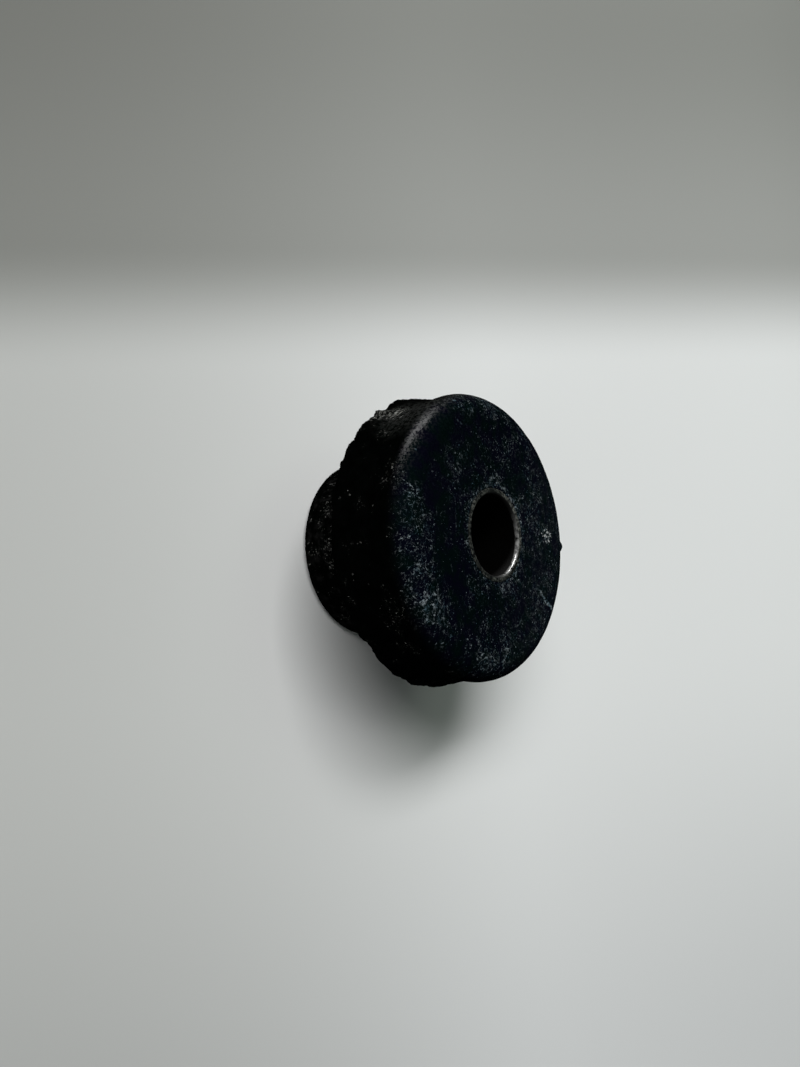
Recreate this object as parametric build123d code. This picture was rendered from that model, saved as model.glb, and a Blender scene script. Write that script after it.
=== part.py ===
"""Rubber isolation mount: a flanged rubber bush, moulded and bonded around a steel sleeve.

Millimetres. The bore axis is Z. The mount stands on the end face of its spigot at
Z = 0, with the flange above it and the load face on top.
"""

import os
from math import cos, radians, sin, sqrt
from random import Random

from build123d import *

# Flange, which carries the load between two plates
FLANGE_DIAMETER = 60.0
FLANGE_THICKNESS = 16.8
SHOULDER_RADIUS = 4.8
WAIST_DEPTH = 0.4

# Spigot, which centres the mount in the hole of the carrier plate
SPIGOT_DIAMETER = 40.0
SPIGOT_LENGTH = 20.5
SPIGOT_LEAD_IN = 1.5
ROOT_FILLET = 0.8

# Steel sleeve, as long as the rubber is high
BORE_DIAMETER = 17.0
SLEEVE_WALL = 1.2
SLEEVE_CHAMFER = 0.4

# Torn moulding flash along the seat edge of the flange
FLASH_OVERHANG = 1.3
FLASH_EDGE = 1.1
FLASH_HEIGHT = 8.5
FLASH_ROUGHNESS = 0.45
FLASH_NICKS = 120
FLASH_SINK = 0.1
FLASH_SEED = 7
FLASH_CALM_FROM = 174.0
FLASH_CALM = 0.3

# Places where the flash stands out or came off deeper: angle, half its width, reach
FLASH_TEARS = [
    (170.5, 5.0, 0.38),
    (185.0, 5.0, 0.15),
    (195.0, 5.0, 0.50),
    (202.0, 5.0, -0.75),
    (207.0, 3.0, 0.25),
    (212.0, 4.0, -0.25),
    (216.0, 3.0, 0.20),
    (222.0, 4.0, -0.20),
    (228.0, 3.0, 0.30),
    (237.0, 6.0, 0.30),
    (300.0, 4.0, 0.25),
    (309.5, 7.0, -1.05),
    (320.0, 6.0, -0.35),
    (327.0, 4.0, 0.20),
    (331.5, 3.0, -0.50),
    (337.0, 5.0, 0.35),
]

# Lump that the mould left on the shoulder
LUMP_DIAMETER = 3.2
LUMP_PROUD = 0.5
LUMP_TURN = 81.0
LUMP_TILT = 32.0

# Fits and heights that follow
flange_radius = FLANGE_DIAMETER / 2
spigot_radius = SPIGOT_DIAMETER / 2
bore_radius = BORE_DIAMETER / 2
bond_radius = bore_radius + SLEEVE_WALL
waist_radius = flange_radius - WAIST_DEPTH
seat_height = SPIGOT_LENGTH
top_height = SPIGOT_LENGTH + FLANGE_THICKNESS


def moulded_bush():
    """The solid of revolution that the mould gives: spigot, seat, waisted side and shoulder."""
    side_top = top_height - SHOULDER_RADIUS
    arc_share = 1 - sqrt(0.5)
    with BuildPart() as bush:
        with BuildSketch(Plane.XZ):
            with BuildLine():
                Line((0, 0), (spigot_radius - SPIGOT_LEAD_IN, 0))
                Line((spigot_radius - SPIGOT_LEAD_IN, 0), (spigot_radius, SPIGOT_LEAD_IN))
                Line((spigot_radius, SPIGOT_LEAD_IN), (spigot_radius, seat_height - ROOT_FILLET))
                ThreePointArc(
                    (spigot_radius, seat_height - ROOT_FILLET),
                    (spigot_radius + ROOT_FILLET * arc_share, seat_height - ROOT_FILLET * arc_share),
                    (spigot_radius + ROOT_FILLET, seat_height),
                )
                Line((spigot_radius + ROOT_FILLET, seat_height), (waist_radius, seat_height))
                Line((waist_radius, seat_height), (waist_radius, seat_height + FLASH_HEIGHT))
                Line((waist_radius, seat_height + FLASH_HEIGHT), (flange_radius, side_top))
                ThreePointArc(
                    (flange_radius, side_top),
                    (flange_radius - SHOULDER_RADIUS * arc_share, top_height - SHOULDER_RADIUS * arc_share),
                    (flange_radius - SHOULDER_RADIUS, top_height),
                )
                Line((flange_radius - SHOULDER_RADIUS, top_height), (0, top_height))
                Line((0, top_height), (0, 0))
            make_face()
        revolve(axis=Axis.Z)
    return bush.part


def flash_reach(degrees, depth):
    """How far the flash's edge stands beyond its mean radius at an angle."""
    turn = radians(degrees)
    swell = 0.5 * sin(3 * turn) + 0.5 * sin(7 * turn + 1)
    reach = FLASH_ROUGHNESS * (0.7 * depth + 0.3 * swell)
    if degrees > FLASH_CALM_FROM:
        reach = reach * FLASH_CALM
    for tear_angle, half_width, tear_reach in FLASH_TEARS:
        reach = reach + tear_reach * max(0, 1 - abs(degrees - tear_angle) / half_width)
    return reach


def torn_flash():
    """The flash collar: a blunt ragged edge at the seat, flaring out of the flange's side."""
    tear = Random(FLASH_SEED)
    depths = [tear.uniform(-1, 1) for _ in range(FLASH_NICKS)]

    def outline(radius, share):
        points = []
        for step, depth in enumerate(depths):
            degrees = 360 * step / FLASH_NICKS
            reach = radius + share * flash_reach(degrees, depth)
            points.append((reach * cos(radians(degrees)), reach * sin(radians(degrees))))
        return points

    edge_radius = flange_radius + FLASH_OVERHANG
    sections = [
        (0, edge_radius, 1.0),
        (FLASH_EDGE, edge_radius, 1.0),
        (FLASH_HEIGHT, waist_radius - FLASH_SINK, 0.0),
    ]
    with BuildPart() as flash:
        for rise, radius, share in sections:
            with BuildSketch(Plane.XY.offset(seat_height + rise)):
                with BuildLine():
                    Polyline(outline(radius, share), close=True)
                make_face()
        loft(ruled=True)
    return flash.part


def shoulder_lump():
    """A low round lump that stands proud of the shoulder."""
    turn = radians(LUMP_TURN)
    tilt = radians(LUMP_TILT)
    from_arc = SHOULDER_RADIUS + LUMP_PROUD - LUMP_DIAMETER / 2
    out = flange_radius - SHOULDER_RADIUS + from_arc * sin(tilt)
    height = top_height - SHOULDER_RADIUS + from_arc * cos(tilt)
    return Pos(out * cos(turn), out * sin(turn), height) * Sphere(LUMP_DIAMETER / 2)


def rubber_body():
    """The whole rubber moulding, with the hole that is bonded to the sleeve."""
    hole = Cylinder(bond_radius, 3 * top_height)
    return moulded_bush() + torn_flash() + shoulder_lump() - hole


def inner_sleeve():
    """The steel tube, chamfered inside at both ends, flush with the rubber."""
    with BuildPart() as sleeve:
        with BuildSketch():
            Circle(bond_radius)
            Circle(bore_radius, mode=Mode.SUBTRACT)
        extrude(amount=top_height)
        bore_edges = sleeve.edges().filter_by(GeomType.CIRCLE).group_by(SortBy.RADIUS)[0]
        chamfer(bore_edges, SLEEVE_CHAMFER)
    return sleeve.part


os.makedirs("parts", exist_ok=True)
export_step(rubber_body(), "parts/rubber_body.step")
export_step(inner_sleeve(), "parts/inner_sleeve.step")
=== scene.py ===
"""Looks of the rubber isolation mount: a flanged rubber moulding bonded around a steel sleeve.

Blender works in metres. Numbers here are millimetres unless they say otherwise, and MM
turns them into metres. The bore axis is Z, and the mount stands on its spigot at Z = 0.
"""

from math import cos, exp, pi, radians, sin, sqrt
from random import Random

import bpy
from mathutils import Matrix, Vector, noise


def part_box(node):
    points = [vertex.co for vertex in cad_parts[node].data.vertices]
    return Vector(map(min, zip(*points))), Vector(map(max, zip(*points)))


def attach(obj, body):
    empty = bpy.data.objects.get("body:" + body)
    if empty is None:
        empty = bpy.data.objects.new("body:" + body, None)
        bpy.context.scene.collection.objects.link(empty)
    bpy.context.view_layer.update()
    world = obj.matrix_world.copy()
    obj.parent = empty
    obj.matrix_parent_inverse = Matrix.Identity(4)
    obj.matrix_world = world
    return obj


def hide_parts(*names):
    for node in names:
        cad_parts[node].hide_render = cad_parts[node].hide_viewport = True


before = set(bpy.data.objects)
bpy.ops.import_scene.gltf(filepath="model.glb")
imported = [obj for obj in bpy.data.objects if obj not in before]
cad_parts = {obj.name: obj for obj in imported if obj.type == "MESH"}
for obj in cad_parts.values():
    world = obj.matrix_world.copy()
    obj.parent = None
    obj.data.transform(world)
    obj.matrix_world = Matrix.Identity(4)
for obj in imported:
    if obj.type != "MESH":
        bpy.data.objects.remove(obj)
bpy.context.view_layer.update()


# Rubber moulding
# One piece of hard black rubber: a flange with a rounded shoulder, and a spigot behind it.
# It was pressed in a two-part mould, and its flash was torn off along the seat edge by hand.

MM = 0.001
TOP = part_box("rubber_body")[1].z / MM
sleeve_low, sleeve_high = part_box("inner_sleeve")
BOND_RADIUS = (sleeve_high.x - sleeve_low.x) / 2 / MM
FLANGE_RADIUS = 30.0
FLANGE_THICKNESS = 16.8
SHOULDER = 4.8
WAIST = 0.4
WAIST_CURVE = 1.5
SPIGOT_RADIUS = 20.0
LEAD_IN = 1.5
ROOT_FILLET = 0.8
SEAT = TOP - FLANGE_THICKNESS
SIDE_TOP = TOP - SHOULDER

FLASH_OVERHANG = 1.3
FLASH_EDGE = 1.1
FLASH_HEIGHT = 8.5
FLASH_ROUGHNESS = 0.45
FLASH_NICKS = 120
FLASH_SEED = 7
FLASH_CALM_FROM = 174.0
FLASH_CALM = 0.3

# Places where the flash stands out or came off deeper: angle, half its width, reach
FLASH_TEARS = (
    (170.5, 5, 0.38),
    (185, 5, 0.15),
    (195, 5, 0.50),
    (202, 5, -0.75),
    (207, 3, 0.25),
    (212, 4, -0.25),
    (216, 3, 0.20),
    (222, 4, -0.20),
    (228, 3, 0.30),
    (237, 6, 0.30),
    (300, 4, 0.25),
    (309.5, 7, -1.05),
    (320, 6, -0.35),
    (327, 4, 0.20),
    (331.5, 3, -0.50),
    (337, 5, 0.35),
)

# Soft edges: how far in from the edge, and how far down or up, each row of the mesh lies
BOND_EDGE = ((0.0, 0.4), (0.05, 0.15), (0.18, 0.03))
BOND_EDGE_WIDTH = 0.35
FLASH_LIP_WIDTH = 0.3
FLASH_LIP = ((0.03, 0.12), (0.12, 0.03), (FLASH_LIP_WIDTH, 0.0))
FLASH_LIP_HEIGHT = 0.25
FOOT_EDGE = 0.2

# Rows and columns of the mesh
ANGLE_STEPS = 600
FACE_STEPS = 34
SHOULDER_STEPS = 18
SIDE_STEPS = 42
SIDE_CROWDING = 1.2
SEAT_STEPS = 16
FILLET_STEPS = 4
BELOW_FILLET = 0.4
SPIGOT_STEPS = 26
LEAD_IN_STEPS = 4
FOOT_STEPS = 8

flash_tear = Random(FLASH_SEED)
flash_depths = [flash_tear.uniform(-1, 1) for _ in range(FLASH_NICKS)]


def nick_reach(step):
    """How far the flash's edge stands beyond its mean radius at one of its nicks."""
    turned = 2 * pi * step / FLASH_NICKS
    degrees = 360 * (step % FLASH_NICKS) / FLASH_NICKS
    swell = 0.5 * sin(3 * turned) + 0.5 * sin(7 * turned + 1)
    reach = FLASH_ROUGHNESS * (0.7 * flash_depths[step % FLASH_NICKS] + 0.3 * swell)
    if degrees > FLASH_CALM_FROM:
        reach = reach * FLASH_CALM
    for tear_angle, half_width, depth in FLASH_TEARS:
        reach = reach + depth * max(0, 1 - abs(degrees - tear_angle) / half_width)
    return reach


nick_reaches = [nick_reach(step) for step in range(FLASH_NICKS + 1)]


def flash_reach(angle):
    """The same at any angle, straight from nick to nick."""
    place = angle / (2 * pi) * FLASH_NICKS
    share = place - int(place)
    return nick_reaches[int(place)] * (1 - share) + nick_reaches[int(place) + 1] * share


def side_radius(angle, height):
    """Radius of the flange's side, drawn in below the shoulder and flaring into the torn flash."""
    rise = height - SEAT
    if rise > FLASH_HEIGHT:
        below = (SIDE_TOP - height) / (SIDE_TOP - SEAT - FLASH_HEIGHT)
        return FLANGE_RADIUS - WAIST * below ** WAIST_CURVE
    flare = 1 - max(rise - FLASH_EDGE, 0) / (FLASH_HEIGHT - FLASH_EDGE)
    return FLANGE_RADIUS - WAIST + (WAIST + FLASH_OVERHANG + flash_reach(angle)) * flare


def moulding_stations():
    """Stations round the section, from the bond at the load face to the bond at the foot.

    Each is a function of the angle that gives a radius and a height.
    """
    stations = []
    root_edge = SPIGOT_RADIUS + ROOT_FILLET

    def fixed(radius, height):
        stations.append(lambda angle: (radius, height))

    def run(start, end, count):
        for step in range(count):
            share = step / count
            fixed(start[0] + (end[0] - start[0]) * share, start[1] + (end[1] - start[1]) * share)

    def on_side(height):
        stations.append(lambda angle: (side_radius(angle, height), height))

    def on_lip(inset, rise):
        stations.append(lambda angle: (side_radius(angle, SEAT) - inset, SEAT + rise))

    def on_seat(share):
        stations.append(lambda angle: (
            (side_radius(angle, SEAT) - FLASH_LIP_WIDTH) * (1 - share) + root_edge * share,
            SEAT,
        ))

    for out, drop in BOND_EDGE:
        fixed(BOND_RADIUS + out, TOP - drop)
    run((BOND_RADIUS + BOND_EDGE_WIDTH, TOP), (FLANGE_RADIUS - SHOULDER, TOP), FACE_STEPS)
    for step in range(SHOULDER_STEPS):
        turn = pi / 2 * step / SHOULDER_STEPS
        fixed(FLANGE_RADIUS - SHOULDER * (1 - sin(turn)), SIDE_TOP + SHOULDER * cos(turn))
    for step in range(SIDE_STEPS):
        share = (1 - step / SIDE_STEPS) ** SIDE_CROWDING
        on_side(SEAT + FLASH_LIP_HEIGHT + (SIDE_TOP - SEAT - FLASH_LIP_HEIGHT) * share)
    for inset, rise in FLASH_LIP:
        on_lip(inset, rise)
    for step in range(1, SEAT_STEPS):
        on_seat(step / SEAT_STEPS)
    for step in range(FILLET_STEPS + 1):
        turn = pi / 2 * step / FILLET_STEPS
        fixed(root_edge - ROOT_FILLET * sin(turn), SEAT - ROOT_FILLET * (1 - cos(turn)))
    run((SPIGOT_RADIUS, SEAT - ROOT_FILLET - BELOW_FILLET), (SPIGOT_RADIUS, LEAD_IN), SPIGOT_STEPS)
    run((SPIGOT_RADIUS, LEAD_IN), (SPIGOT_RADIUS - LEAD_IN, 0), LEAD_IN_STEPS)
    run((SPIGOT_RADIUS - LEAD_IN, 0), (BOND_RADIUS + FOOT_EDGE, 0), FOOT_STEPS)
    fixed(BOND_RADIUS + FOOT_EDGE / 4, FOOT_EDGE / 4)
    fixed(BOND_RADIUS, FOOT_EDGE)
    return stations


# Lump that the mould left on the shoulder
LUMP = 3.2
LUMP_PROUD = 0.5
LUMP_TURN = radians(81)
LUMP_TILT = radians(32)

lump_reach = SHOULDER + LUMP_PROUD - LUMP / 2
lump_out = FLANGE_RADIUS - SHOULDER + lump_reach * sin(LUMP_TILT)
lump_centre = Vector((
    lump_out * cos(LUMP_TURN),
    lump_out * sin(LUMP_TURN),
    SIDE_TOP + lump_reach * cos(LUMP_TILT),
))

# Wear of the skin: what it has lost, and the depth and size of its swells and ripples
UNWORN_EDGE = 0.3
SKIN_LOSS = 0.05
SWELL = 0.05
SWELL_SIZE = 6.0
RIPPLE = 0.02
RIPPLE_SIZE = 1.7

# Crumbled surface that tearing left on the flash and on the side above it
TORN_INSET = 1.5
TORN_SPREAD = 4.5
PIT = 0.5
PIT_SIZE = 2.4
CRUMB = 0.4
CRUMB_SIZE = 1.0
CRUMB_SHIFT = Vector((7, 3, 1))
GRIT = 0.10
GRIT_SIZE = 0.45


def rubber_wear(point):
    """How far the used surface stands off its moulded form."""
    radius = sqrt(point.x ** 2 + point.y ** 2)
    if radius < BOND_RADIUS + UNWORN_EDGE or point.z < UNWORN_EDGE:
        return 0.0
    swells = SWELL * noise.noise(point / SWELL_SIZE)
    ripples = RIPPLE * noise.noise(point / RIPPLE_SIZE)
    wear = swells + ripples - SKIN_LOSS
    if radius > FLANGE_RADIUS - TORN_INSET and point.z < SIDE_TOP:
        torn = exp(-((point.z - SEAT) / TORN_SPREAD) ** 2)
        pits = PIT * abs(noise.noise(point / PIT_SIZE))
        crumbs = CRUMB * abs(noise.noise(point / CRUMB_SIZE + CRUMB_SHIFT))
        wear = wear - torn * (pits + crumbs - GRIT * noise.noise(point / GRIT_SIZE))
    away = (point - lump_centre).length
    return wear + max(0, LUMP / 2 - away)


def ring_mesh(name, stations, wear):
    """Closed ring of quads through the stations, worn along its own normals."""
    rows = []
    for station in stations:
        row = []
        for step in range(ANGLE_STEPS):
            angle = 2 * pi * step / ANGLE_STEPS
            radius, height = station(angle)
            row.append(Vector((radius * cos(angle), radius * sin(angle), height)))
        rows.append(row)
    points = []
    faces = []
    count = len(rows)
    for index, row in enumerate(rows):
        under = (index + 1) % count
        for step, point in enumerate(row):
            beside = (step + 1) % ANGLE_STEPS
            normal = (row[beside] - row[step - 1]).cross(rows[index - 1][step] - rows[under][step])
            points.append((point + normal.normalized() * wear(point)) * MM)
            faces.append((
                index * ANGLE_STEPS + step,
                under * ANGLE_STEPS + step,
                under * ANGLE_STEPS + beside,
                index * ANGLE_STEPS + beside,
            ))
    mesh = bpy.data.meshes.new(name)
    mesh.from_pydata(points, [], faces)
    mesh.polygons.foreach_set("use_smooth", [True] * len(faces))
    mesh.update()
    piece = bpy.data.objects.new(name, mesh)
    bpy.context.scene.collection.objects.link(piece)
    return piece


MID_NOISE = (0.5, 0.5, 0.5)


class Shade:
    """A socket of a material, so that its maths is written as an expression."""

    def __init__(self, tree, socket=None):
        self.tree = tree
        self.socket = socket

    def node(self, kind, settings, sockets, output=0):
        """Adds a node with its settings and the values or links of its sockets."""
        made = self.tree.nodes.new("ShaderNode" + kind)
        for key, value in settings.items():
            setattr(made, key, value)
        for key, value in sockets.items():
            if isinstance(value, Shade):
                self.tree.links.new(value.socket, made.inputs[key])
            elif isinstance(value, tuple) and made.inputs[key].type == "RGBA":
                made.inputs[key].default_value = (*value, 1)
            else:
                made.inputs[key].default_value = value
        return Shade(self.tree, made.outputs[output] if made.outputs else None)

    def maths(self, operation, first, second=0.0):
        return self.node("Math", {"operation": operation}, {0: first, 1: second})

    def vector(self, operation, first, second, output=0):
        key = "Scale" if operation == "SCALE" else 1
        return self.node("VectorMath", {"operation": operation}, {0: first, key: second}, output)

    def __add__(self, other):
        return self.maths("ADD", self, other)

    __radd__ = __add__

    def __sub__(self, other):
        return self.maths("SUBTRACT", self, other)

    def __rsub__(self, other):
        return self.maths("SUBTRACT", other, self)

    def __mul__(self, other):
        return self.maths("MULTIPLY", self, other)

    __rmul__ = __mul__

    def __truediv__(self, other):
        return self.maths("DIVIDE", self, other)

    def __pow__(self, other):
        return self.maths("POWER", self, other)

    def __abs__(self):
        return self.maths("ABSOLUTE", self)

    def between(self, low, high):
        """0 at low and 1 at high, with a soft start and end."""
        return self.node("MapRange", {"interpolation_type": "SMOOTHSTEP"},
                         {"Value": self, "From Min": low, "From Max": high})

    def blend(self, first, second):
        """The first colour where this mask is 0, and the second where it is 1."""
        return self.node("Mix", {"data_type": "RGBA"}, {"Factor": self, 6: first, 7: second}, 2)

    def piece_place(self):
        """Where a point of the piece lies, in millimetres."""
        return self.vector("SCALE", self.node("TexCoord", {}, {}, "Object"), 1 / MM)

    def part(self, place, axis):
        """One of the three numbers of a place."""
        return self.node("SeparateXYZ", {}, {0: place}, axis)

    def off_axis(self, place):
        """How far a place lies from the bore axis."""
        return self.vector("LENGTH", self.vector("MULTIPLY", place, (1, 1, 0)), (0, 0, 0), "Value")

    def towards(self, place, way):
        """How far a place lies in one direction."""
        return self.vector("DOT_PRODUCT", place, way, "Value")

    def clouds(self, place, size, detail=2.0, output=0):
        """Soft noise with features of the given size."""
        return self.node("TexNoise", {}, {"Vector": place, "Scale": 1 / size, "Detail": detail}, output)

    def threads(self, place, size, detail, width):
        """Thin winding lines, as wide as the given share of the noise that they follow."""
        off_line = abs(self.clouds(place, size, detail) - 0.5)
        return 1 - (off_line / width).between(0.2, 1)

    def near(self, place, centre, reach):
        """1 around a point, fading to 0 at the reach."""
        away = self.vector("DISTANCE", place, centre, "Value")
        return 1 - (away / reach).between(0.2, 1)

    def stroke(self, place, start, end, width):
        """1 on a straight scratch from start to end."""
        course = Vector(end) - Vector(start)
        gone = self.vector("SUBTRACT", place, start)
        share = self.towards(gone, tuple(course / course.length_squared))
        share = self.node("Math", {"operation": "ADD", "use_clamp": True}, {0: share, 1: 0.0})
        foot = self.vector("SCALE", tuple(course), share)
        away = self.vector("DISTANCE", gone, foot, "Value")
        return 1 - (away / width).between(0.3, 1)

    def flecks(self, place, spacing, size, aspect, crowd):
        """Scattered flecks turned every way. The crowd is the share of them that show."""
        cells = {"Vector": place, "Scale": 1 / spacing}
        centre = self.node("TexVoronoi", {}, cells, "Position")
        chance = self.node("TexVoronoi", {}, cells, "Color")
        gone = self.vector("SUBTRACT", place, centre)
        course = self.vector("NORMALIZE", self.vector("SUBTRACT", chance, MID_NOISE), (0, 0, 0))
        along = self.towards(gone, course)
        reach = self.vector("LENGTH", gone, (0, 0, 0), "Value")
        squash = reach ** 2 - along ** 2 * (1 - 1 / aspect ** 2)
        luck = self.node("SeparateColor", {}, {0: chance}, 2) - 1 + crowd
        grown = luck.between(0, 0.3) * size + 0.001
        shine = self.node("SeparateColor", {}, {0: chance}, 1) ** 2 * 0.85 + 0.15
        return (1 - (squash / (grown * grown)).between(0.3, 1)) * shine


def new_finish(name):
    """An empty material and the start of its shader maths."""
    material = bpy.data.materials.new(name)
    material.use_nodes = True
    material.node_tree.nodes.clear()
    return material, Shade(material.node_tree)


# Powder that has settled or been rubbed in: centre, reach and strength
POWDER = (
    ((7.0, -25.5, 36.8), 6.5, 0.46),
    ((12.0, -23.0, 37.0), 5.0, 0.60),
    ((16.0, -20.5, 37.0), 4.0, 0.05),
    ((0.0, -26.0, 36.8), 6.5, 0.36),
    ((-7.5, -25.5, 36.4), 6.5, 0.36),
    ((-3.0, -21.0, TOP), 5.5, 0.20),
    ((1.3, 20.6, TOP), 2.6, 0.4),
    ((-10.8, 1.5, TOP), 2.5, 0.6),
    ((10.8, -0.5, TOP), 2.5, 0.5),
    ((-5.5, 9.0, TOP), 3.5, 0.5),
    ((25.0, -7.5, 36.8), 5.0, 0.6),
    ((22.0, -1.0, TOP), 5.0, 0.4),
    ((2.0, 16.0, TOP), 9.0, 0.12),
    ((14.0, 13.0, TOP), 6.0, 0.20),
    ((-14.5, -12.0, TOP), 4.5, 0.3),
    ((-16.5, 6.0, TOP), 5.0, 0.3),
    ((-26.3, -14.0, 24.5), 6.5, 0.85),
    # On the spigot: specks of powder, and with them a painted dull sheen
    ((-1.0, -20.0, 9.0), 5.0, 0.35),
    ((-9.0, -17.5, 8.0), 5.0, 0.2),
    ((-28.0, 3.0, 35.0), 6.0, 0.7),
    ((-27.0, -15.0, 22.0), 2.5, 0.6),
    ((-31.0, -1.6, 21.5), 3.5, 1.2),
    ((-23.0, 15.0, 36.0), 4.0, 0.3),
    ((-20.5, -21.0, 28.0), 4.0, 0.22),
    ((12.0, -27.3, 31.0), 6.0, 0.35),
    ((20.0, -22.3, 30.0), 5.0, 0.4),
    ((-13.5, -26.2, 35.0), 5.0, 0.5),
    ((-25.5, -13.5, 35.4), 4.0, 0.5),
    ((-28.0, -6.0, 35.0), 6.0, 0.4),
)


def settled_powder(graph, place):
    """How much powder lies at a place."""
    powder = 0.0
    for centre, reach, strength in POWDER:
        powder = graph.near(place, centre, reach) * strength + powder
    return powder


# Places that were rubbed: a scuffed ring round the bore, and two wiped bands
SCUFFED_RING = 10.1
WIPED_CLEAN = ((-25.0, -12.0, 36.9), (-14.0, -24.0, 36.9))
WIPED_CLEAN_WIDTH = 4.0
WIPED_BARE = ((-7.0, -18.5, TOP), (7.0, -15.5, TOP))
WIPED_BARE_WIDTH = 5.0


def dust_crowd(graph, place, powder, upper, spigot):
    """The share of the flecks that show: most on the load face and where powder lies."""
    patches = graph.clouds(place, 4.5, 3).between(0.38, 0.75)
    side_patches = graph.clouds(place, 3.0, 3).between(0.50, 0.68)
    scuffed = (1 - abs(graph.off_axis(place) - SCUFFED_RING).between(0.3, 1.3)) * upper
    crowd = upper * (patches * 0.26 + 0.16) + 0.06 + powder * 0.6 + scuffed * 0.35
    crowd = crowd + spigot * 0.12 + (1 - upper) * side_patches * 0.25
    clean = graph.stroke(place, *WIPED_CLEAN, WIPED_CLEAN_WIDTH)
    bare = graph.stroke(place, *WIPED_BARE, WIPED_BARE_WIDTH)
    return crowd * (1 - clean * 0.85) * (1 - bare * 0.35)


# Dust that was drawn out into streaks along X, on one patch of the load face
DRAWN_DUST = (13.0, -23.0, 37.0)
DRAWN_REACH = 7.0
DRAWN_STRETCH = (0.30, 2.2, 1)


def loose_dust(graph, place, crumbled, crowd):
    """Flecks of four sizes, and between them fibres, webs and grain."""
    fine = graph.flecks(crumbled, 0.40, 0.14, 3.5, crowd)
    middling = graph.flecks(crumbled, 0.85, 0.22, 4.5, crowd * 0.6)
    coarse = graph.flecks(crumbled, 1.5, 0.26, 1.6, crowd * 0.35)
    sparse = graph.flecks(crumbled, 1.3, 0.21, 1.8, 0.38)
    drawn = graph.clouds(graph.vector("MULTIPLY", place, DRAWN_STRETCH), 1.0, 3).between(0.50, 0.64)
    drawn = drawn * graph.near(place, DRAWN_DUST, DRAWN_REACH)
    drawn = drawn * graph.clouds(place, 0.5).between(0.35, 0.6)
    hair = graph.threads(crumbled, 1.2, 1, 0.04) * graph.clouds(place, 0.8).between(0.47, 0.62)
    fuzz = graph.threads(crumbled, 0.6, 1, 0.05) * graph.clouds(place, 0.7).between(0.50, 0.64)
    web = graph.threads(place, 2.2, 3, 0.025) * graph.clouds(place, 1.1).between(0.48, 0.62)
    grain = graph.clouds(place, 0.35, 3).between(0.48, 0.75)
    dust = fine * 0.85 + middling * 0.9 + coarse * 1.4 + sparse * 0.55 + drawn * 0.35
    return dust + crowd.between(0.0, 1.0) * (hair + fuzz * 0.8 + web * 0.5 + grain * 0.3)


# Scratches across the load face: start and end, width and strength
SCRATCHES = (
    ((13.2, 15.0), (15.6, 16.4), 0.40, 0.9),
    ((15.2, 16.5), (18.2, 19.8), 0.55, 1.0),
    ((14.8, 15.8), (16.8, 17.4), 0.35, 0.7),
    ((-15.3, -11.9), (0.5, -13.9), 0.25, 0.25),
    ((-6.6, -10.5), (-1.7, -12.8), 0.22, 0.4),
    ((2.5, -16.8), (6.0, -16.2), 0.22, 0.4),
    ((3.0, -21.7), (5.6, -22.4), 0.22, 0.4),
    ((-5.0, -23.4), (-5.2, -21.2), 0.25, 0.6),
    ((-23.7, -9.7), (-22.6, -7.9), 0.30, 0.4),
)


def scratches(graph, place, crumbled):
    """Pale scratches, broken where the rubber has closed over them."""
    broken = graph.clouds(place, 0.5, 3).between(0.44, 0.58)
    marks = 0.0
    for start, end, width, strength in SCRATCHES:
        line = graph.stroke(crumbled, (*start, TOP), (*end, TOP), width)
        marks = line * strength * broken + marks
    return marks


# Long scrapes across the side, where it has rubbed on an edge
SCRAPED = (-26.4, -14.2, 26.3)
SCRAPED_REACH = 5.0
SCRAPE_ALONG = (-0.561, 0.816, 0.139)
SCRAPE_ACROSS = (0.079, -0.115, 0.990)
STREAKS_ALONG = 0.22
STREAKS_ACROSS = 3.6


def side_scrapes(graph, place):
    """Streaks that follow the scrape."""
    along = graph.towards(place, SCRAPE_ALONG) * STREAKS_ALONG
    across = graph.towards(place, SCRAPE_ACROSS) * STREAKS_ACROSS
    streaks = graph.clouds(graph.node("CombineXYZ", {}, {"X": along, "Y": across}), 1.0, 1)
    scrape = streaks.between(0.56, 0.70) * graph.near(place, SCRAPED, SCRAPED_REACH)
    return scrape * graph.clouds(place, 0.5).between(0.38, 0.56)


# Bare rubber: blue and green blacks on the load face, partly its painted sheen, darker on the side,
# and greyer on a scuffed patch of the side and on the spigot, where the grey is partly painted sheen
FACE_BLACKS_AND_SHEEN = ((0.0011, 0.0013, 0.0042), (0.0006, 0.0028, 0.0027))
SIDE_BLACKS = ((0.0003, 0.0004, 0.0003), (0.0006, 0.0008, 0.0007))
SCUFF_SHEEN_GREY = (0.0150, 0.0160, 0.0152)
SPIGOT_SHEEN_GREY = (0.0045, 0.0045, 0.0045)
# Where the side's scuffed patch, with its painted sheen, lies and how far it reaches
SCUFF_SHEEN = (-26.0, -14.0, 31.0)
SCUFF_SHEEN_REACH = 11.0


def bare_rubber(graph, place, crumbled, upper, spigot):
    """Colour of the rubber under the dust, partly painted sheen."""
    tint = graph.clouds(place, 3.0, 3).between(0.35, 0.65)
    # Painted sheen with real scuffing: a greyer, grainy patch high on the side
    scuff_sheen = graph.near(place, SCUFF_SHEEN, SCUFF_SHEEN_REACH)
    scuff_sheen = scuff_sheen * graph.clouds(crumbled, 0.7, 3).between(0.36, 0.62)
    side = scuff_sheen.blend(tint.blend(*SIDE_BLACKS), SCUFF_SHEEN_GREY)
    # Grey mottles on the spigot, partly its painted dull sheen
    mottled_sheen = graph.clouds(place, 2.2, 4).between(0.48, 0.72) * spigot
    # The load face's bluer blacks are partly its painted sheen.
    return mottled_sheen.blend(upper.blend(side, tint.blend(*FACE_BLACKS_AND_SHEEN)), SPIGOT_SHEEN_GREY)


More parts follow.
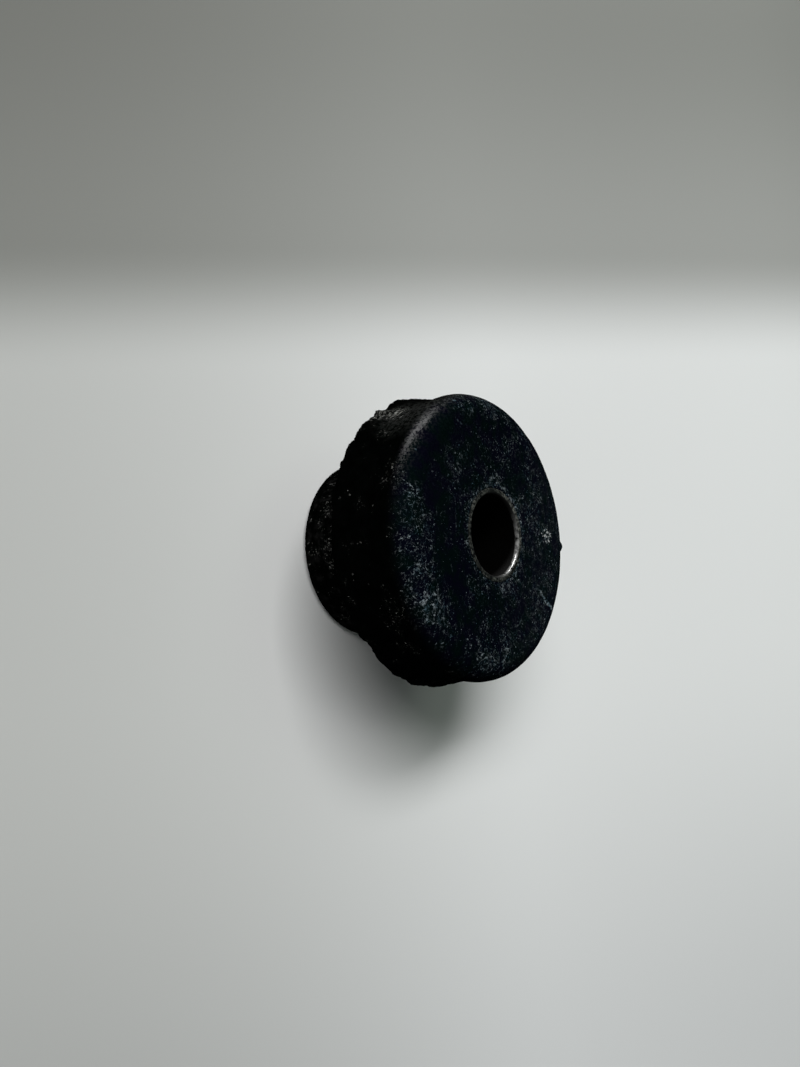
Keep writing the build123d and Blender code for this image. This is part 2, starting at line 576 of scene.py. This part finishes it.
# Dust, each from its darker to its paler colour, and a chalk mark on the load face near the lump
FACE_DUST = ((0.045, 0.078, 0.098), (0.175, 0.205, 0.22))
SIDE_DUST = ((0.11, 0.11, 0.10), (0.21, 0.21, 0.20))
CHALK = (0.34, 0.35, 0.35)
CHALK_MARK = (1.3, 20.6, TOP)
CHALK_REACH = 3.4


def dust_colour(graph, place, upper, chalk):
    """Colour of what lies on the rubber."""
    worn = graph.clouds(place, 1.6).between(0.35, 0.65)
    pale = upper.blend(worn.blend(*SIDE_DUST), worn.blend(*FACE_DUST))
    return chalk.between(0.1, 0.6).blend(pale, CHALK)


# Height over which the load face's dust and blue, partly painted sheen give way to the side's dark
# rubber
UPPER_FROM = TOP - 4.2
UPPER_TO = TOP - 0.8
SPIGOT_FADE = 2.0

# Pale haze that thickens towards the lump's side of the load face, partly a painted sheen
HAZE_AND_SHEEN_WAY = (0.35, 1, 0)

# Rubber with a faint gleam where it was handled, and matt everywhere else
HANDLED = (-21.0, -19.0, 35.0)
HANDLED_REACH = 30.0
HANDLED_GLOSS = 0.023
BUMP_HEIGHT = 0.2


def dusty_rubber():
    """Near-black rubber with a partly painted bluish sheen, pale flecks, powdery patches and scuffs."""
    material, graph = new_finish("dusty_rubber")
    place = graph.piece_place()
    shake = graph.vector("SUBTRACT", graph.clouds(place, 0.45, 2, "Color"), MID_NOISE)
    crumbled = graph.vector("ADD", place, graph.vector("SCALE", shake, 0.55))
    height = graph.part(place, "Z")
    upper = height.between(UPPER_FROM, UPPER_TO)
    spigot = 1 - height.between(SEAT - SPIGOT_FADE, SEAT)

    powder = settled_powder(graph, place)
    crowd = dust_crowd(graph, place, powder, upper, spigot)
    # Haze over the load face, partly a painted sheen
    haze_and_sheen = graph.towards(place, HAZE_AND_SHEEN_WAY).between(-12, 22)
    chalk_crowd = graph.near(place, CHALK_MARK, CHALK_REACH) * 0.9
    chalk = graph.flecks(crumbled, 0.50, 0.31, 1.3, chalk_crowd)
    bloom = powder.between(0.1, 1.3) * graph.clouds(place, 0.5, 4).between(0.40, 0.70)
    dust = loose_dust(graph, place, crumbled, crowd) + haze_and_sheen * upper * 0.11
    dust = dust + scratches(graph, place, crumbled) + chalk * 2.0
    dust = dust + side_scrapes(graph, place) * 1.5 + bloom * 0.25
    dust = dust.between(0.03, 1.25)

    rubber = bare_rubber(graph, place, crumbled, upper, spigot)
    smeared = graph.clouds(place, 0.5, 3).between(0.35, 0.65)
    bumps = graph.clouds(place, 0.9, 4) * 0.5 + graph.clouds(place, 0.35, 3) * 0.35 + dust * 0.4
    relief = {"Strength": 0.5, "Distance": BUMP_HEIGHT * MM, "Height": bumps}
    looks = {
        "Base Color": dust.blend(rubber, dust_colour(graph, place, upper, chalk)),
        "Roughness": dust * 0.3 + smeared * 0.28 + 0.14,
        "Normal": graph.node("Bump", {}, relief),
    }
    polish = graph.near(place, HANDLED, HANDLED_REACH) * height.between(TOP - 3.8, TOP - 2.4)
    polish = polish * (graph.clouds(place, 0.5, 2).between(0.42, 0.60) * 0.75 + 0.25)
    matt = graph.node("BsdfPrincipled", {}, {**looks, "Specular IOR Level": 0.0})
    handled = graph.node("BsdfPrincipled", {}, {**looks, "Specular IOR Level": HANDLED_GLOSS})
    finish = graph.node("MixShader", {}, {0: polish, 1: matt, 2: handled})
    graph.node("OutputMaterial", {}, {"Surface": finish})
    return material


moulding = ring_mesh("rubber_moulding", moulding_stations(), rubber_wear)
moulding.data.materials.append(dusty_rubber())
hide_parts("rubber_body")
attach(moulding, "root")


# Steel sleeve
# A plain tube that the rubber is bonded to, so that the bolt clamps steel and not rubber.
# Its ends are flush with the rubber, and the worn edge of its bore has a painted highlight on one side.

BORE_RADIUS = 8.5
MOUTH_ROUND = 0.5
MOUTH_STEPS = 7
FOOT_MOUTH_STEPS = 5
OUTER_ROUND = 0.12
OUTER_BREAK = 0.03
BORE_ROW = 1.0


def sleeve_stations():
    """Stations round the section of the tube, from the mouth outwards and back up the bore."""
    corners = [
        (BORE_RADIUS + MOUTH_ROUND, TOP),
        (BOND_RADIUS - OUTER_ROUND, TOP),
        (BOND_RADIUS - OUTER_BREAK, TOP - OUTER_BREAK),
        (BOND_RADIUS, TOP - OUTER_ROUND),
        (BOND_RADIUS, OUTER_ROUND),
        (BOND_RADIUS - OUTER_ROUND, 0),
    ]
    for step in range(FOOT_MOUTH_STEPS + 1):
        turn = pi / 2 * step / FOOT_MOUTH_STEPS
        corners.append((BORE_RADIUS + MOUTH_ROUND * (1 - sin(turn)), MOUTH_ROUND * (1 - cos(turn))))
    corners += [(BORE_RADIUS, BORE_ROW), (BORE_RADIUS, TOP - BORE_ROW)]
    for step in range(MOUTH_STEPS):
        turn = pi / 2 * step / MOUTH_STEPS
        drop = MOUTH_ROUND * (1 - sin(turn))
        corners.append((BORE_RADIUS + MOUTH_ROUND * (1 - cos(turn)), TOP - drop))
    return [lambda angle, corner=corner: corner for corner in corners]


# Steel, each from its darker to its paler colour: in the bore, on the end, on the part of
# the end that was kept clean, and on the worn edge of the bore, with its painted highlight
BORE_STEEL = ((0.0004, 0.0004, 0.0004), (0.0015, 0.0014, 0.0013))
END_STEEL = ((0.003, 0.004, 0.004), (0.062, 0.066, 0.058))
CLEAN_STEEL = ((0.015, 0.016, 0.015), (0.140, 0.146, 0.132))
BRIGHT_WORN_LIT_STEEL = ((0.010, 0.010, 0.010), (0.26, 0.26, 0.255))
CLEAN_SIDE = (-3.0, 8.8, TOP)
CLEAN_REACH = 9.0
# Where the painted highlight on the mouth's worn edge lies, and how far it reaches
RUBBED_LIT_SIDE = (5.0, 6.9, TOP)
RUBBED_LIT_REACH = 10.5
RUBBED_FROM = 8.72
RUBBED_TO = 8.95
RUBBED_DEPTH = 1.0


def close_finish(graph, sockets):
    """Ends a material in one Principled shader."""
    shader = graph.node("BsdfPrincipled", {}, sockets)
    graph.node("OutputMaterial", {}, {"Surface": shader})


def worn_sleeve():
    """Dull dark steel, with a painted highlight on one side of the mouth's worn edge."""
    material, graph = new_finish("worn_sleeve")
    place = graph.piece_place()
    off_middle = abs(graph.part(place, "Z") - TOP / 2)
    end = off_middle.between(TOP / 2 - MOUTH_ROUND, TOP / 2 - 0.1)
    mouth = off_middle.between(TOP / 2 - RUBBED_DEPTH, TOP / 2 - MOUTH_ROUND)
    mouth = mouth * (1 - graph.off_axis(place).between(RUBBED_FROM, RUBBED_TO))
    # Painted highlight: the mouth's worn edge is bright only near this side
    rubbed_lit = graph.near(place, RUBBED_LIT_SIDE, RUBBED_LIT_REACH)
    clean = graph.near(place, CLEAN_SIDE, CLEAN_REACH)
    stain = graph.clouds(place, 0.9, 5)
    grit = graph.clouds(place, 0.5, 3).between(0.40, 0.62)
    grit = grit * graph.clouds(place, 1.6).between(0.25, 0.65)
    end_colour = clean.blend(grit.blend(*END_STEEL), grit.blend(*CLEAN_STEEL))
    bright_lit = (stain.between(0.3, 0.6) * rubbed_lit).blend(*BRIGHT_WORN_LIT_STEEL)
    close_finish(graph, {
        "Base Color": mouth.blend(end.blend(stain.blend(*BORE_STEEL), end_colour), bright_lit),
        "Metallic": mouth * 0.35,
        "Roughness": 0.70 - mouth * 0.32,
        "Specular IOR Level": 0.03,
    })
    return material


sleeve = ring_mesh("steel_sleeve", sleeve_stations(), lambda point: 0.0)
sleeve.data.materials.append(worn_sleeve())
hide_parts("inner_sleeve")
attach(sleeve, "root")


# Floor
# A pale matt sheet that the mount stands on. It isn't part of the mount. Painted shade turns it grey
# towards the back like a swept backdrop, darker in front and at the left; painted light lifts the
# right.

FLOOR_HALF = 3000.0

# The fold where the painted backdrop shade begins runs nearly along Y, this far behind the mount, and
# its blur widens with Y
FOLD_BEHIND = 56
FOLD_SLANT = 0.153
BLUR_AT_MOUNT = 1.35
BLUR_GROWTH = 0.0045
LEAST_BLUR = 0.3

# Painted shade and light: the sheet's colours back to front, what dims its left and what lifts its
# right
SHADED_BACKDROP = ((0.270, 0.275, 0.258), (0.385, 0.39, 0.375))
FRONT_SHADE = ((0.865, 0.875, 0.875), (0.71, 0.72, 0.725))
LEFT_SHADE = (0.60, 0.60, 0.585)
MIDDLE = (0.98, 0.98, 0.98)
RIGHT_LIGHT = (1.1, 1.1, 1.1)


def swept_paper():
    """White paper with painted shade behind its fold, at the left and in front, and light at the right.
    """
    material, graph = new_finish("pale_paper")
    place = graph.piece_place()
    across = graph.part(place, "Y")
    blur = graph.maths("MAXIMUM", across * BLUR_GROWTH + BLUR_AT_MOUNT, LEAST_BLUR)
    forward = (graph.part(place, "X") + across * FOLD_SLANT + FOLD_BEHIND) / blur
    # Painted shade: the sheet turns grey behind the fold and darker in front
    shaded_backdrop_colour = forward.between(-60, -8).blend(*SHADED_BACKDROP)
    front_shade_colour = forward.between(60, 145).blend(*FRONT_SHADE)
    paper = forward.between(-12, 10).blend(shaded_backdrop_colour, front_shade_colour)
    # Painted shade at the left and painted light at the right
    shaded_left = across.between(-110, 70).blend(LEFT_SHADE, MIDDLE)
    lit = across.between(60, 450).blend(shaded_left, RIGHT_LIGHT)
    multiply = {"data_type": "RGBA", "blend_type": "MULTIPLY"}
    paper = graph.node("Mix", multiply, {"Factor": 1.0, 6: paper, 7: lit}, 2)
    close_finish(graph, {"Base Color": paper, "Roughness": 0.8, "Specular IOR Level": 0.1})
    return material


floor_corners = []
for side_x, side_y in ((-1, -1), (1, -1), (1, 1), (-1, 1)):
    floor_corners.append((side_x * FLOOR_HALF * MM, side_y * FLOOR_HALF * MM, 0))
floor_mesh = bpy.data.meshes.new("pale_floor")
floor_mesh.from_pydata(floor_corners, [], [(0, 1, 2, 3)])
floor_mesh.materials.append(swept_paper())
pale_floor = bpy.data.objects.new("pale_floor", floor_mesh)
bpy.context.scene.collection.objects.link(pale_floor)


# Studio light
# A long lamp high at the back left casts the shadow, and a broad one higher up fills it. A
# weak one at the side shows the dust on the flange's side and the spigot, and a low strip
# draws the gleam along the shoulder and the bore's edge. A faint grey sky adds a little.

# Distances of the lamps, in metres
LAMP_DISTANCE = 3.2
STRIP_DISTANCE = 1.2

GREENISH = (0.84, 1.0, 0.84)
SKY = (0.86, 1.0, 0.92)
SKY_STRENGTH = 0.05


def area_lamp(name, direction, along, distance, length, width, radiance):
    """A rectangular lamp that faces the flange, with its long side along the given way.

    Its distance, length and width are in metres.
    """
    lamp = bpy.data.lights.new(name, "AREA")
    lamp.shape = "RECTANGLE"
    lamp.size = length
    lamp.size_y = width
    lamp.energy = radiance * pi * length * width
    holder = bpy.data.objects.new(name, lamp)
    back = Vector(direction).normalized()
    side = (Vector(along) - back * back.dot(Vector(along))).normalized()
    turned = Matrix((side, back.cross(side), back)).transposed().to_4x4()
    holder.matrix_world = Matrix.Translation(Vector((0, 0, SEAT * MM)) + back * distance) @ turned
    bpy.context.scene.collection.objects.link(holder)
    return holder


key_lamp = area_lamp(
    "key_lamp", (-0.575, -0.447, 0.685), along=(0, 1, 0),
    distance=LAMP_DISTANCE, length=3.0, width=0.7, radiance=18.4,
)
key_lamp.visible_glossy = False
fill_lamp = area_lamp(
    "fill_lamp", (-0.479, 0.278, 0.832), along=(0, 1, 0),
    distance=LAMP_DISTANCE, length=1.4, width=1.8, radiance=0.9,
)
fill_lamp.data.color = GREENISH
fill_lamp.visible_glossy = False
side_lamp = area_lamp(
    "side_lamp", (0.15, -0.95, 0.22), along=(0, 0, 1),
    distance=LAMP_DISTANCE, length=1.5, width=1.0, radiance=2.6,
)
side_lamp.visible_glossy = False
strip_lamp = area_lamp(
    "strip_lamp", (-0.90, -0.06, 0.16), along=(-0.03, 0.85, 0.20),
    distance=STRIP_DISTANCE, length=0.9, width=0.16, radiance=165,
)
strip_lamp.visible_diffuse = False

world = bpy.data.worlds.new("studio")
world.use_nodes = True
world.node_tree.nodes.clear()
sky = Shade(world.node_tree)
grey = sky.node("Background", {}, {"Color": SKY, "Strength": SKY_STRENGTH})
sky.node("OutputWorld", {}, {"Surface": grey})
bpy.context.scene.world = world


# Camera
# It looks at the load face from 57 degrees off the bore axis, as the photograph does,
# and is rolled so that the mount lies in the picture as it does there.

PHOTO_WIDTH = 800
PHOTO_HEIGHT = 1067
FOCAL_PIXELS = 803
FACE_CENTRE_PIXEL = (496.15, 534.75)
VIEW_OFF_AXIS = radians(56.78)
AXIS_ROLL = radians(6.26)
DISTANCE_IN_RADII = 5.534
SENSOR = 36
CLIP_START = 10

aim = Vector((
    (FACE_CENTRE_PIXEL[0] - PHOTO_WIDTH / 2) / FOCAL_PIXELS,
    (PHOTO_HEIGHT / 2 - FACE_CENTRE_PIXEL[1]) / FOCAL_PIXELS,
    -1,
)).normalized()
across = (Vector((1, 0, 0)) - aim * aim.x).normalized()
upright = across.cross(aim).normalized()
rolled = across * cos(AXIS_ROLL) + upright * sin(AXIS_ROLL)
axis_seen = rolled * sin(VIEW_OFF_AXIS) - aim * cos(VIEW_OFF_AXIS)
away = (aim - axis_seen * aim.dot(axis_seen)).normalized()
camera_turn = Matrix((away.cross(axis_seen), away, axis_seen))
face_centre = Vector((0, 0, TOP * MM))
camera_place = face_centre - camera_turn @ aim * (DISTANCE_IN_RADII * FLANGE_RADIUS * MM)

camera = bpy.data.cameras.new("camera")
camera.sensor_fit = "VERTICAL"
camera.sensor_height = SENSOR
camera.lens = SENSOR * FOCAL_PIXELS / PHOTO_HEIGHT
camera.clip_start = CLIP_START * MM
camera_object = bpy.data.objects.new("camera", camera)
camera_object.matrix_world = Matrix.Translation(camera_place) @ camera_turn.to_4x4()
bpy.context.scene.collection.objects.link(camera_object)
bpy.context.scene.camera = camera_object
bpy.context.scene.view_settings.view_transform = "Standard"
